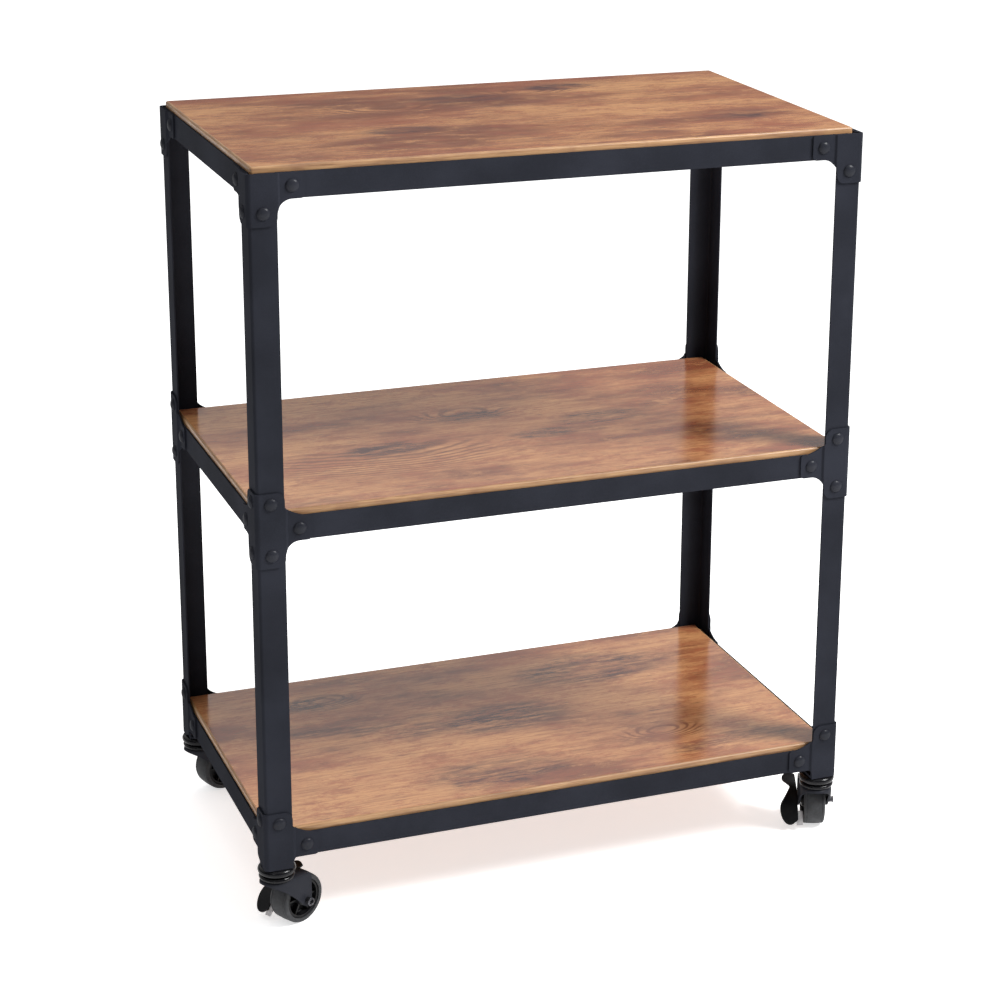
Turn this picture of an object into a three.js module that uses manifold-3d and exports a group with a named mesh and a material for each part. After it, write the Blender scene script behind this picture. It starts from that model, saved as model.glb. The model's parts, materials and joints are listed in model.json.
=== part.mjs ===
// Three-tier bar cart: angle-iron posts, railed shelves, corner gussets and four swivel casters.
// Millimetres, +Z up. The origin is on the floor, under the middle of the cart.
// +X runs along the length, -Y is the front, and the casters stand on z = 0.
import * as THREE from 'three';
import { mergeVertices } from 'three/addons/utils/BufferGeometryUtils.js';
import Module from 'manifold-3d';

const wasm = await Module();
wasm.setup();

// ---- driving sizes ----
const frameLength = 600;        // outside of the posts, along X
const frameWidth = 340;         // outside of the posts, along Y
const shelfPitch = 319;         // from one shelf rim to the next
const footDrop = 34;            // from the bottom shelf rim down to the foot of the post
const touchGap = 0.3;           // between pieces that touch

const postLeg = 26;             // width of each post flange
const postSheet = 1.5;
const postBend = 3;             // outer radius of the post's corner

const railFace = 24;            // height of a rail's face
const railSheet = 1.5;
const railSetback = 4;          // rail end to the inner corner of the post
const ledgeWidth = 14;          // the inward flange that carries the board, with the face
const boardThickness = 12;
const boardProud = 5.5;         // board top above the rail's top edge
const boardRound = 2.5;         // rounding of the board's edges
const boardCornerRadius = 3;
const boardEndPlay = 5;         // total free length between the board and the two end rails
const boardSidePlay = 1.4;      // total free width between the board and the long rails

const gussetSheet = 1.5;
const gussetReach = 51.5;       // from the post's corner to the end of the rail tab
const gussetAbove = 24.5;       // height of the post tab above a shelf rim
const gussetBelow = 47.5;       // depth of the post tab below a shelf rim
const gussetTabRound = 8;
const gussetThroat = 14;        // radius under the rail tab
const gussetShoulder = 10;      // height of the slope above the rail tab
const gussetShoulderRun = 20;   // length of that slope
const footThroat = 4;           // radius under the rail tab of the bottom gusset
const footTaper = 12;           // how much narrower the foot is at its end
const joggleRun = 2;            // length of the step from the post face in to the rail face

const boltHeadRadius = 6;
const boltHeadHeight = 3.5;
const boltPostInset = 13;       // bolt to the post's corner
const boltRailInset = 40;
const boltRailDrop = 12;        // rail bolt below the shelf rim
const boltAbove = 14;           // upper post bolt above the shelf rim
const boltBelow = 35.5;         // lower post bolt below the shelf rim

const wheelRadius = 25;
const wheelWidth = 22;
const tyreThickness = 5;
const tyreShoulder = 2;         // rounding of the tyre's edges
const hubWidth = 20;
const hubBossRadius = 7;
const hubRimThickness = 2.6;
const hubWebThickness = 5;
const casterTrail = 24;         // stem axis to axle, horizontally
const casterInset = 13;         // stem axis to the outside of the posts
const wheelTopGap = 2;          // tyre to the crown of the fork
const forkSheet = 2;
const forkGap = 3;              // wheel side to fork leg
const crownSheet = 2.5;
const crownFront = 1.5;         // crown beyond the legs' half width, at the front
const crownLip = 0.5;           // depth of the crown's turned-down front edge
const forkRearRound = 6;        // rounding of a leg's upper rear corner
const forkEyeRadius = 6;        // end of a leg, round the axle
const forkKneeAhead = 25;       // where a leg's front edge curves, ahead of the axle
const forkKneeAbove = 19.5;     // and above it
const lowerRaceHeight = 4.8;
const lowerRaceRadius = 17.4;
const upperRaceHeight = 8;
const upperRaceRadius = 18.4;
const upperRaceTaper = 3;       // how much smaller the ring is at its top
const raceRound = 1.5;          // rounding of both rings' edges
const raceGap = 0.4;
const stemRadius = 4;
const stemHeadRadius = 6.5;
const stemHeadHeight = 2;
const stemNutRadius = 6.4;
const stemNutHeight = 5;
const seatThickness = 2.5;      // plate in the foot of the post that holds the stem
const axleRadius = 3;
const axleHeadRadius = 4.2;
const axleHeadHeight = 0.8;
const runningGap = 0.3;         // round a stem or an axle
const pedalSheet = 2.2;
const pedalHubRadius = 7;
const pedalHubWidth = 4.2;
const pedalRise = 10;           // top of the arched plate above the axle
const pedalFrontDrop = 17;      // end of the front pad below the axle
const pedalRearLift = 8;        // end of the rear pad above the arch
const pedalFrontRound = 10;     // corner of the front pad, in plan
const pedalRearRound = 8;       // corner of the rear pad
const pedalFrontReach = 35;     // wheel middle to the outer edge of the front pad
const pedalRearReach = 31;      // wheel middle to the outer edge of the rear pad
const pedalFrontPad = 25;       // axle to the end of the front pad, horizontally
const pedalRearPad = 27;        // axle to the end of the rear pad, horizontally

// Where each caster trails at rest, in degrees from +X, and whether it has a brake.
const casters = [
  { name: 'fl', sideX: -1, sideY: -1, swivel: 28, brake: true },
  { name: 'fr', sideX: 1, sideY: -1, swivel: 70, brake: true },
  { name: 'rl', sideX: -1, sideY: 1, swivel: 18, brake: false },
  { name: 'rr', sideX: 1, sideY: 1, swivel: 225, brake: false },
];

// ---- heights and places worked out from them ----
const crownBottom = 2 * wheelRadius + wheelTopGap;
const lowerRaceBottom = crownBottom + crownSheet;
const upperRaceBottom = lowerRaceBottom + lowerRaceHeight + raceGap;
const footHeight = upperRaceBottom + upperRaceHeight + touchGap;
const tiers = [
  { name: 'bottom', rim: footHeight + footDrop },
  { name: 'middle', rim: footHeight + footDrop + shelfPitch },
  { name: 'top', rim: footHeight + footDrop + 2 * shelfPitch },
];
const frameTop = tiers[2].rim;
const railInset = postSheet + touchGap;
const ledgeDrop = boardThickness - boardProud + touchGap;

// ---- materials ----
const steel = { color: 0x3c414b, roughness: 0.5, metalness: 0.4 };
const wood = { color: 0xa9785a, roughness: 0.4, metalness: 0 };
const blackMetal = { color: 0x16171a, roughness: 0.25, metalness: 0.6 };
const rubber = { color: 0x2f3135, roughness: 0.7, metalness: 0 };
const plastic = { color: 0x1d1e20, roughness: 0.5, metalness: 0 };

// ---- helpers ----
const cart = new THREE.Group();

function addMesh(name, geometry, finish, parent = cart) {
  const mesh = new THREE.Mesh(geometry, new THREE.MeshStandardMaterial(finish));
  mesh.name = name;
  parent.add(mesh);
  return mesh;
}

function toSolid(geometry) {
  const bare = geometry.clone();
  bare.deleteAttribute('normal');
  bare.deleteAttribute('uv');
  const welded = mergeVertices(bare, 1e-4);
  return new wasm.Manifold(new wasm.Mesh({
    numProp: 3,
    vertProperties: new Float32Array(welded.attributes.position.array),
    triVerts: new Uint32Array(welded.index.array),
  }));
}

function toGeometry(solid) {
  const mesh = solid.getMesh();
  const geometry = new THREE.BufferGeometry();
  geometry.setAttribute('position', new THREE.BufferAttribute(new Float32Array(mesh.vertProperties), 3));
  geometry.setIndex(new THREE.BufferAttribute(new Uint32Array(mesh.triVerts), 1));
  geometry.computeVertexNormals();
  return geometry;
}

function prism(shape, low, high, curveSegments = 6) {
  const geometry = new THREE.ExtrudeGeometry(shape, { depth: high - low, bevelEnabled: false, curveSegments });
  geometry.translate(0, 0, low);
  return geometry;
}

// An outline drawn in X and Z, extruded along Y from low to high.
function sidePrism(shape, low, high, curveSegments = 6) {
  const geometry = prism(shape, -high, -low, curveSegments);
  geometry.rotateX(Math.PI / 2);
  return geometry;
}

function lathe(points, segments) {
  const outline = points.map(([r, z]) => new THREE.Vector2(r, z));
  const geometry = new THREE.LatheGeometry(outline, segments);
  geometry.rotateX(Math.PI / 2);
  return geometry;
}

function shapeOf(points) {
  return new THREE.Shape(points.map(([x, y]) => new THREE.Vector2(x, y)));
}

// Points of a quarter turn about (cx, cy), from angle start to end in degrees.
function arc(cx, cy, radius, start, end, steps = 3) {
  const points = [];
  for (let i = 0; i <= steps; i += 1) {
    const angle = THREE.MathUtils.degToRad(start + ((end - start) * i) / steps);
    points.push([cx + radius * Math.cos(angle), cy + radius * Math.sin(angle)]);
  }
  return points;
}

// Corner coordinates: p runs inwards along X and q inwards along Y from a post's outer corner.
function fromCorner({ sideX, sideY }, points) {
  return points.map(([p, q]) => [sideX * (frameLength / 2 - p), sideY * (frameWidth / 2 - q)]);
}

// ---- posts ----
function postOutline() {
  const bend = arc(postBend, postBend, postBend, 270, 180);
  const inside = arc(postBend, postBend, postBend - postSheet, 180, 270);
  return [[postLeg, 0], ...bend, [0, postLeg], [postSheet, postLeg], ...inside, [postLeg, postSheet]];
}

for (const corner of casters) {
  const outline = shapeOf(fromCorner(corner, postOutline()));
  addMesh(`post_${corner.name}`, prism(outline, footHeight, frameTop), steel);
}

// ---- rails: a face with a ledge, mitred at both ends ----
function railGeometry(length) {
  const face = railSheet;
  const ledgeTop = -ledgeDrop;
  const ledgeBottom = ledgeTop - railSheet;
  const section = shapeOf([
    [0, 0], [face, 0], [face, ledgeTop], [ledgeWidth, ledgeTop], [ledgeWidth, ledgeBottom],
    [face, ledgeBottom], [face, -railFace], [0, -railFace],
  ]);
  const geometry = prism(section, -length / 2, length / 2);
  const position = geometry.attributes.position;
  for (let i = 0; i < position.count; i += 1) {
    const inward = position.getX(i);
    const up = position.getY(i);
    const along = position.getZ(i);
    position.setXYZ(i, along - Math.sign(along) * inward, inward, up);
  }
  return geometry;
}

const longRail = frameLength - 2 * (railInset + railSetback);
const shortRail = frameWidth - 2 * (railInset + railSetback);
const railPlaces = [
  { name: 'front', length: longRail, x: 0, y: -frameWidth / 2 + railInset, turn: 0 },
  { name: 'right', length: shortRail, x: frameLength / 2 - railInset, y: 0, turn: 90 },
  { name: 'back', length: longRail, x: 0, y: frameWidth / 2 - railInset, turn: 180 },
  { name: 'left', length: shortRail, x: -frameLength / 2 + railInset, y: 0, turn: -90 },
];

for (const tier of tiers) {
  for (const place of railPlaces) {
    const rail = addMesh(`rail_${tier.name}_${place.name}`, railGeometry(place.length), steel);
    rail.position.set(place.x, place.y, tier.rim);
    rail.rotation.z = THREE.MathUtils.degToRad(place.turn);
  }
}

// ---- shelf boards, each pushed up against its left end rail ----
const railInner = railInset + railSheet;
const boardLength = frameLength - 2 * railInner - boardEndPlay;
const boardWidth = frameWidth - 2 * railInner - boardSidePlay;
const boardCentreX = touchGap - boardEndPlay / 2;

function boardGeometry() {
  const halfX = boardLength / 2 - boardRound;
  const halfY = boardWidth / 2 - boardRound;
  const radius = boardCornerRadius;
  const outline = shapeOf([
    ...arc(halfX - radius, halfY - radius, radius, 0, 90, 3),
    ...arc(-halfX + radius, halfY - radius, radius, 90, 180, 3),
    ...arc(-halfX + radius, -halfY + radius, radius, 180, 270, 3),
    ...arc(halfX - radius, -halfY + radius, radius, 270, 360, 3),
  ]);
  const geometry = new THREE.ExtrudeGeometry(outline, {
    depth: boardThickness - 2 * boardRound,
    bevelThickness: boardRound,
    bevelSize: boardRound,
    bevelSegments: 3,
  });
  geometry.translate(0, 0, boardRound - boardThickness);
  return geometry;
}

for (const tier of tiers) {
  const board = addMesh(`board_${tier.name}`, boardGeometry(), wood);
  board.position.set(boardCentreX, 0, tier.rim + boardProud);
}

// ---- gussets: an L that wraps the post and steps in to the rails, with its bolt heads ----
const gussetInner = -touchGap;                    // over the post
const gussetOuter = gussetInner - gussetSheet;
const tabInner = railInset - touchGap;            // over the rail
const tabOuter = tabInner - gussetSheet;

function gussetPlan() {
  const stepStart = postLeg + 2 * touchGap;
  const stepEnd = stepStart + joggleRun;
  const outerBend = postBend - gussetOuter;
  const innerBend = postBend - gussetInner;
  const along = [
    [gussetReach, tabOuter], [stepEnd + touchGap, tabOuter], [stepStart + touchGap, gussetOuter],
  ];
  const back = [[gussetReach, tabInner], [stepEnd, tabInner], [stepStart, gussetInner]];
  const swap = ([p, q]) => [q, p];
  return [
    ...along,
    ...arc(postBend, postBend, outerBend, 270, 180),
    ...along.map(swap).reverse(),
    ...back.map(swap),
    ...arc(postBend, postBend, innerBend, 180, 270),
    ...back.reverse(),
  ];
}

// Face outline: u runs from the post's corner along the face, v up from the shelf rim.
function gussetFace(tierName, tapered) {
  const past = -postBend - gussetSheet - 2;
  const round = gussetTabRound;
  const tabEnd = gussetReach;
  const points = [];
  if (tierName === 'top') {
    points.push([past, 0]);
  } else {
    points.push([past, gussetAbove]);
    points.push(...arc(postLeg - round, gussetAbove - round, round, 90, 0));
    const slope = new THREE.QuadraticBezierCurve(
      new THREE.Vector2(postLeg, gussetShoulder),
      new THREE.Vector2(postLeg + gussetShoulderRun / 4, gussetShoulder / 3),
      new THREE.Vector2(postLeg + gussetShoulderRun, 0),
    );
    points.push(...slope.getPoints(4).map((point) => [point.x, point.y]));
  }
  points.push(...arc(tabEnd - 2, -2, 2, 90, 0, 2));
  points.push(...arc(tabEnd - round / 2, -railFace + round / 2, round / 2, 0, -90, 3));
  if (tierName === 'bottom') {
    const footEnd = tapered ? postLeg - footTaper : postLeg;
    points.push(...arc(postLeg + footThroat, -railFace - footThroat, footThroat, 90, 180, 3));
    points.push([footEnd, -footDrop]);
    points.push([past, -footDrop]);
  } else {
    points.push(...arc(postLeg + gussetThroat, -railFace - gussetThroat, gussetThroat, 90, 180, 5));
    points.push(...arc(postLeg - round, -gussetBelow + round, round, 0, -90));
    points.push([past, -gussetBelow]);
  }
  return shapeOf(points);
}

function boltHead() {
  const sunk = gussetSheet / 2;
  return lathe([
    [0, -sunk], [boltHeadRadius, -sunk], [boltHeadRadius, boltHeadHeight / 5],
    [boltHeadRadius * 0.65, boltHeadHeight * 0.8], [0, boltHeadHeight],
  ], 8);
}

function gussetBolts(tierName) {
  const bolts = [{ u: boltRailInset, v: -boltRailDrop, out: tabOuter }];
  if (tierName !== 'top') bolts.push({ u: boltPostInset, v: boltAbove, out: gussetOuter });
  if (tierName !== 'bottom') bolts.push({ u: boltPostInset, v: -boltBelow, out: gussetOuter });
  return bolts;
}

// One gusset in place at its corner, with the shelf rim at z = 0.
function gussetGeometry(tierName, corner) {
  const { sideX, sideY } = corner;
  const low = -gussetBelow - footDrop;
  const high = gussetAbove + 2;
  const plan = toSolid(prism(shapeOf(fromCorner(corner, gussetPlan())), low, high));

  const reach = gussetReach + 2;
  const longFace = toSolid(sidePrism(gussetFace(tierName, false), -reach, reach));
  const shortFace = toSolid(sidePrism(gussetFace(tierName, true), -reach, reach));
  const halfX = frameLength / 2;
  const halfY = frameWidth / 2;
  const mirrorX = sideX > 0 ? longFace.scale([-1, 1, 1]) : longFace;
  const longPlaced = mirrorX.translate([sideX * halfX, sideY * halfY, 0]);
  const turned = shortFace.rotate([0, 0, sideY > 0 ? -90 : 90]);
  const shortPlaced = turned.translate([sideX * halfX, sideY * halfY, 0]);

  // Each face outline shapes only its own half of the L.
  const wedgePoints = [[-9, -9], [reach, -9], [reach, tabInner + 1], [postBend, postBend]];
  const wedge = toSolid(prism(shapeOf(fromCorner(corner, wedgePoints)), low, high));
  const longHalf = plan.intersect(wedge).intersect(longPlaced);
  const shortHalf = plan.subtract(wedge).intersect(shortPlaced);
  let solid = longHalf.add(shortHalf);

  const head = toSolid(boltHead());
  for (const bolt of gussetBolts(tierName)) {
    const onLong = head.rotate([sideY > 0 ? -90 : 90, 0, 0])
      .translate([sideX * (halfX - bolt.u), sideY * (halfY - bolt.out), bolt.v]);
    const onShort = head.rotate([0, sideX > 0 ? 90 : -90, 0])
      .translate([sideX * (halfX - bolt.out), sideY * (halfY - bolt.u), bolt.v]);
    solid = solid.add(onLong).add(onShort);
  }
  return toGeometry(solid);
}

for (const tier of tiers) {
  for (const corner of casters) {
    const gusset = addMesh(`gusset_${tier.name}_${corner.name}`, gussetGeometry(tier.name, corner), steel);
    gusset.position.z = tier.rim;
  }
}

// ---- caster seats: a plate in the foot of each post, with the hole for the stem ----
for (const corner of casters) {
  const near = postSheet + touchGap;
  const far = postLeg;
  const outline = shapeOf(fromCorner(corner, [
    [near + postBend, near], [far, near], [far, far], [near, far], [near, near + postBend],
  ]));
  const hole = new THREE.Path();
  const [[stemX, stemY]] = fromCorner(corner, [[casterInset, casterInset]]);
  const clockwise = corner.sideX * corner.sideY > 0;   // against the outline's own turn
  hole.absarc(stemX, stemY, stemRadius + runningGap, 0, 2 * Math.PI, clockwise);
  outline.holes.push(hole);
  addMesh(`caster_seat_${corner.name}`, prism(outline, footHeight, footHeight + seatThickness, 8), steel);
}

// ---- caster pieces, drawn with the stem on z, trailing towards +X ----
function stemGeometry() {
  const headTop = crownBottom - touchGap;
  const headBottom = headTop - stemHeadHeight;
  const raceTop = upperRaceBottom + upperRaceHeight;
  const nutBottom = footHeight + seatThickness + touchGap;
  const nutTop = nutBottom + stemNutHeight;
  const middle = upperRaceBottom + upperRaceHeight / 2;
  return lathe([
    [0, headBottom], [stemHeadRadius, headBottom], [stemHeadRadius, headTop],
    [stemRadius, headTop], [stemRadius, upperRaceBottom],
    [upperRaceRadius - raceRound, upperRaceBottom], [upperRaceRadius, middle],
    [upperRaceRadius - upperRaceTaper, raceTop], [stemRadius, raceTop], [stemRadius, nutBottom],
    [stemNutRadius, nutBottom], [stemNutRadius, nutTop], [0, nutTop],
  ], 16);
}

const forkInner = wheelWidth / 2 + forkGap;
const forkOuter = forkInner + forkSheet;

// Side view of a fork leg, in X and Z: from the crown down to an eye round the axle.
function legOutline() {
  const top = lowerRaceBottom;
  const front = forkOuter + crownFront;
  const radius = forkEyeRadius;
  const round = forkRearRound;
  const eye = arc(casterTrail, wheelRadius, radius, 10, -150, 6);
  const frontEdge = new THREE.QuadraticBezierCurve(
    new THREE.Vector2(...eye[eye.length - 1]),
    new THREE.Vector2(casterTrail - forkKneeAhead, wheelRadius + forkKneeAbove),
    new THREE.Vector2(-front, crownBottom - crownLip),
  );
  return shapeOf([
    [-front, top], ...arc(casterTrail + radius - round, top - round, round, 90, 0, 3), ...eye,
    ...frontEdge.getPoints(5).slice(1).map((point) => [point.x, point.y]),
  ]);
}

// Plan of the crown: round about the stem in front, straight sides to the rear.
function crownPlan(halfWidth, front, rear) {
  const outline = arc(0, 0, 1, 90, 270, 8).map(([x, y]) => [x * front, y * halfWidth]);
  return shapeOf([...outline, [rear, -halfWidth], [rear, halfWidth]]);
}

function forkGeometry() {
  const rear = casterTrail + wheelRadius;
  const front = forkOuter + crownFront;
  const side = toSolid(sidePrism(legOutline(), -forkOuter, forkOuter));
  const outer = toSolid(prism(crownPlan(forkOuter, front, rear), 0, lowerRaceBottom + 1));
  const inner = toSolid(prism(crownPlan(forkInner, front - forkSheet, rear + 1), -1, crownBottom));
  const raceTop = lowerRaceBottom + lowerRaceHeight;
  const race = toSolid(lathe([
    [0, lowerRaceBottom - 1], [lowerRaceRadius - raceRound, lowerRaceBottom - 1],
    [lowerRaceRadius, lowerRaceBottom + lowerRaceHeight / 2],
    [lowerRaceRadius - raceRound, raceTop], [0, raceTop],
  ], 16));
  const stemHole = toSolid(lathe([
    [0, crownBottom - 1], [stemRadius + runningGap, crownBottom - 1],
    [stemRadius + runningGap, upperRaceBottom + 1], [0, upperRaceBottom + 1],
  ], 12));
  const reach = forkOuter + 1;
  const axleHole = toSolid(lathe([
    [0, -reach], [axleRadius + runningGap, -reach], [axleRadius + runningGap, reach], [0, reach],
  ], 12)).rotate([90, 0, 0]).translate([casterTrail, 0, wheelRadius]);
  return toGeometry(side.intersect(outer).subtract(inner).add(race).subtract(stemHole).subtract(axleHole));
}

// A turned piece about the wheel axis, from a profile of radius and distance along the axle.
function aboutAxle(points, segments) {
  const geometry = lathe(points, segments);
  geometry.rotateX(-Math.PI / 2);
  geometry.translate(casterTrail, 0, wheelRadius);
  return geometry;
}

function axleGeometry(brake) {
  const start = forkOuter + touchGap;
  const end = brake ? start + pedalHubWidth + 2 * touchGap : start;
  const head = axleHeadHeight;
  return aboutAxle([
    [0, -start - head], [axleHeadRadius, -start - head], [axleHeadRadius, -start], [axleRadius, -start],
    [axleRadius, end], [axleHeadRadius, end], [axleHeadRadius, end + head], [0, end + head],
  ], 12);
}

function hubGeometry() {
  const bore = axleRadius + runningGap;
  const half = hubWidth / 2;
  const boss = wheelWidth / 2 + 1;
  const web = hubWebThickness / 2;
  const rimOuter = wheelRadius - tyreThickness - touchGap;
  const rimInner = rimOuter - hubRimThickness;
  return aboutAxle([
    [bore, -boss], [hubBossRadius, -boss], [hubBossRadius, -web], [rimInner, -web], [rimInner, -half],
    [rimOuter, -half], [rimOuter, half], [rimInner, half], [rimInner, web], [hubBossRadius, web],
    [hubBossRadius, boss], [bore, boss], [bore, -boss],
  ], 20);
}

function tyreGeometry() {
  const inner = wheelRadius - tyreThickness;
  const half = wheelWidth / 2;
  return aboutAxle([
    [inner, -half], [wheelRadius - tyreShoulder, -half], [wheelRadius, -half + tyreShoulder],
    [wheelRadius, half - tyreShoulder], [wheelRadius - tyreShoulder, half], [inner, half], [inner, -half],
  ], 32);
}

// The brake's rocker pedal: two pads on an arched plate beside the fork, and a cheek on the axle.
function pedalGeometry() {
  const inside = forkOuter + 2 * touchGap;
  const arch = new THREE.SplineCurve([
    new THREE.Vector2(-pedalFrontPad, -pedalFrontDrop), new THREE.Vector2(-pedalFrontPad / 2, -1),
    new THREE.Vector2(0, pedalRise), new THREE.Vector2(pedalRearPad / 2, pedalRise + pedalRearLift * 0.6),
    new THREE.Vector2(pedalRearPad, pedalRise + pedalRearLift),
  ]);
  const upper = arch.getPoints(10).map((point) => [point.x, point.y]);
  const lower = [...upper].reverse().map(([x, z]) => [x + pedalSheet * 0.45, z - pedalSheet]);
  const band = toSolid(sidePrism(shapeOf([...upper, ...lower]), inside, pedalFrontReach + 1));

  const frontRound = pedalFrontRound;
  const rearRound = pedalRearRound;
  const waist = inside + pedalHubRadius;
  const padFront = arc(-pedalFrontPad + frontRound, pedalFrontReach - frontRound, frontRound, 200, 60, 6);
  const padRear = arc(pedalRearPad - rearRound, pedalRearReach - rearRound, rearRound, 120, -20, 5);
  const outline = toSolid(prism(shapeOf([
    [-pedalFrontPad + 3, inside], ...padFront, [-1, waist + 1], [pedalHubRadius - 1, waist],
    ...padRear, [pedalRearPad - 2, inside],
  ]), -wheelRadius, wheelRadius + pedalRise));

  const cheek = toSolid(sidePrism(shapeOf([
    ...arc(0, 0, pedalHubRadius, 180, 360, 6), [pedalHubRadius + 1, pedalRise], [-5, pedalRise / 2],
  ]), inside, inside + pedalSheet));
  const boss = toSolid(sidePrism(new THREE.Shape().absarc(0, 0, pedalHubRadius - 1, 0, 2 * Math.PI),
    inside, inside + pedalHubWidth - touchGap, 6));
  const bore = toSolid(sidePrism(new THREE.Shape().absarc(0, 0, axleRadius + runningGap, 0, 2 * Math.PI),
    inside - 1, inside + pedalHubWidth + 1, 6));
  const solid = band.intersect(outline).add(cheek).add(boss).subtract(bore);
  const geometry = toGeometry(solid);
  geometry.translate(casterTrail, 0, wheelRadius);
  return geometry;
}

for (const corner of casters) {
  const caster = new THREE.Group();
  const [[stemX, stemY]] = fromCorner(corner, [[casterInset, casterInset]]);
  caster.position.set(stemX, stemY, 0);
  caster.rotation.z = THREE.MathUtils.degToRad(corner.swivel);
  cart.add(caster);
  addMesh(`caster_stem_${corner.name}`, stemGeometry(), blackMetal, caster);
  addMesh(`fork_${corner.name}`, forkGeometry(), steel, caster);
  addMesh(`axle_${corner.name}`, axleGeometry(corner.brake), blackMetal, caster);
  addMesh(`wheel_hub_${corner.name}`, hubGeometry(), plastic, caster);
  addMesh(`tyre_${corner.name}`, tyreGeometry(), rubber, caster);
  if (corner.brake) {
    addMesh(`brake_pedal_${corner.name}`, pedalGeometry(), plastic, caster);
  }
}

export default cart;
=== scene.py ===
# %% [markdown]
# # A bar cart on casters
#
# This lesson dresses a finished steel-and-wood cart. The working model of the cart is already there: its
# posts, rails, boards, gussets and casters come in as a fixed frame, each with its real size and its
# joints. Here every piece gets the shape of a made thing, with folds, rounded edges and bolts, and its own
# finish. Lengths are metres, the origin is on the floor under the middle, -Y is the front and +Z is up.

# %% Load the frame and keep its box
import json
import math

import bmesh
import bpy
from mathutils import Matrix, Vector


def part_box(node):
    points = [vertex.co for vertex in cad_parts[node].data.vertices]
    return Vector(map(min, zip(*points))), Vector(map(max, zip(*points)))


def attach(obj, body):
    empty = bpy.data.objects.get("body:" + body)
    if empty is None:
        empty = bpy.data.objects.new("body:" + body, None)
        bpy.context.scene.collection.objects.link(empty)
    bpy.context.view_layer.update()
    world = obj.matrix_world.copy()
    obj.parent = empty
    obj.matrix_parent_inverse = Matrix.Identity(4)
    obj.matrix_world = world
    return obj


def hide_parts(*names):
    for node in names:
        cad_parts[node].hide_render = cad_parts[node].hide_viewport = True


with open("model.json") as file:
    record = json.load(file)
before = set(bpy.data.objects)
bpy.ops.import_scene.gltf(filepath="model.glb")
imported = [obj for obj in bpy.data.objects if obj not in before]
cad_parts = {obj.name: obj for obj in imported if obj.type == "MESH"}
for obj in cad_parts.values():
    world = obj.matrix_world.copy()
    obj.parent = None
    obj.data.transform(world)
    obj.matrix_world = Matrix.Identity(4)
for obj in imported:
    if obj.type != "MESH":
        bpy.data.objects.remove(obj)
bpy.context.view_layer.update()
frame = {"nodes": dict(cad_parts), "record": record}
MM = 0.001
CORNERS = {"fl": (-1, -1), "fr": (1, -1), "rl": (-1, 1), "rr": (1, 1)}
TIERS = ("bottom", "middle", "top")
SIDES = ("front", "right", "back", "left")

# %% [markdown]
# ## Measuring the frame
#
# A piece that is drawn again has to land where the working model has it. So the outside of the posts, the
# height of each shelf rim and the foot of the posts are all read from the frame instead of typed in.

# %% Read the main sizes
post_low, post_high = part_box("post_fl")
half_length = -post_low.x
half_width = -post_low.y
foot_height = post_low.z
leg = post_high.x - post_low.x
rims = {tier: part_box(f"rail_{tier}_front")[1].z for tier in TIERS}
rail_face = rims["top"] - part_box("rail_top_front")[0].z
joints = {joint["name"]: joint for joint in frame["record"]["behaviour"]["joints"]}
print("half length, half width, leg", half_length, half_width, round(leg, 4), "rims", rims)

# %% [markdown]
# ## Helpers for node trees
#
# Every finish below is a small tree of shader nodes. One helper adds a node and either sets or links each
# of its sockets, so that a tree reads from top to bottom like a recipe. The others are the few steps that
# all finishes share: a noise, a colour ramp, a mix, a sum and a remap.


# %% Node helpers
def add_node(tree, kind, inputs=None, **settings):
    """A new node, with each socket in inputs set to a value or linked from another socket."""
    node = tree.nodes.new(kind)
    for name, value in settings.items():
        setattr(node, name, value)
    for socket, value in (inputs or {}).items():
        if isinstance(value, bpy.types.NodeSocket):
            tree.links.new(value, node.inputs[socket])
        else:
            node.inputs[socket].default_value = value
    return node


def calc(tree, operation, a, b=0.0, clamp=False):
    return add_node(tree, "ShaderNodeMath", {0: a, 1: b}, operation=operation, use_clamp=clamp).outputs[0]


def remap(tree, value, low, high, to_low=0.0, to_high=1.0):
    sockets = {"Value": value, "From Min": low, "From Max": high, "To Min": to_low, "To Max": to_high}
    node = add_node(tree, "ShaderNodeMapRange", sockets, interpolation_type="SMOOTHSTEP")
    return node.outputs["Result"]


def noise(tree, vector, scale, detail=4.0, roughness=0.5, stretch=(1, 1, 1), offset=(0, 0, 0)):
    """Noise with cells of about 1 / (scale * stretch) metres along each axis."""
    mapped = add_node(tree, "ShaderNodeMapping", {"Vector": vector, "Location": offset, "Scale": stretch})
    sockets = {"Vector": mapped.outputs[0], "Scale": scale, "Detail": detail, "Roughness": roughness}
    return add_node(tree, "ShaderNodeTexNoise", sockets).outputs["Fac"]


def mix(tree, factor, a, b):
    node = add_node(tree, "ShaderNodeMix", data_type="RGBA")
    for socket, value in zip((node.inputs[0], node.inputs[6], node.inputs[7]), (factor, a, b)):
        if isinstance(value, bpy.types.NodeSocket):
            tree.links.new(value, socket)
        else:
            socket.default_value = value if socket == node.inputs[0] else (*value, 1.0)
    return node.outputs[2]


def ramp(tree, factor, stops):
    """A colour ramp from pairs of position and colour."""
    node = add_node(tree, "ShaderNodeValToRGB", {"Fac": factor})
    elements = node.color_ramp.elements
    elements.remove(elements[1])
    for index, (position, colour) in enumerate(stops):
        element = elements[0] if index == 0 else elements.new(position)
        element.position = position
        element.color = (*colour, 1.0)
    return node.outputs["Color"]


def start_finish(name, **shader_values):
    """A material, its tree, its shader and the object coordinates in metres."""
    material = bpy.data.materials.new(name)
    material.use_nodes = True
    tree = material.node_tree
    shader = tree.nodes["Principled BSDF"]
    for socket, value in shader_values.items():
        shader.inputs[socket.replace("_", " ")].default_value = value
    return material, tree, shader, add_node(tree, "ShaderNodeTexCoord").outputs["Object"]


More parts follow.
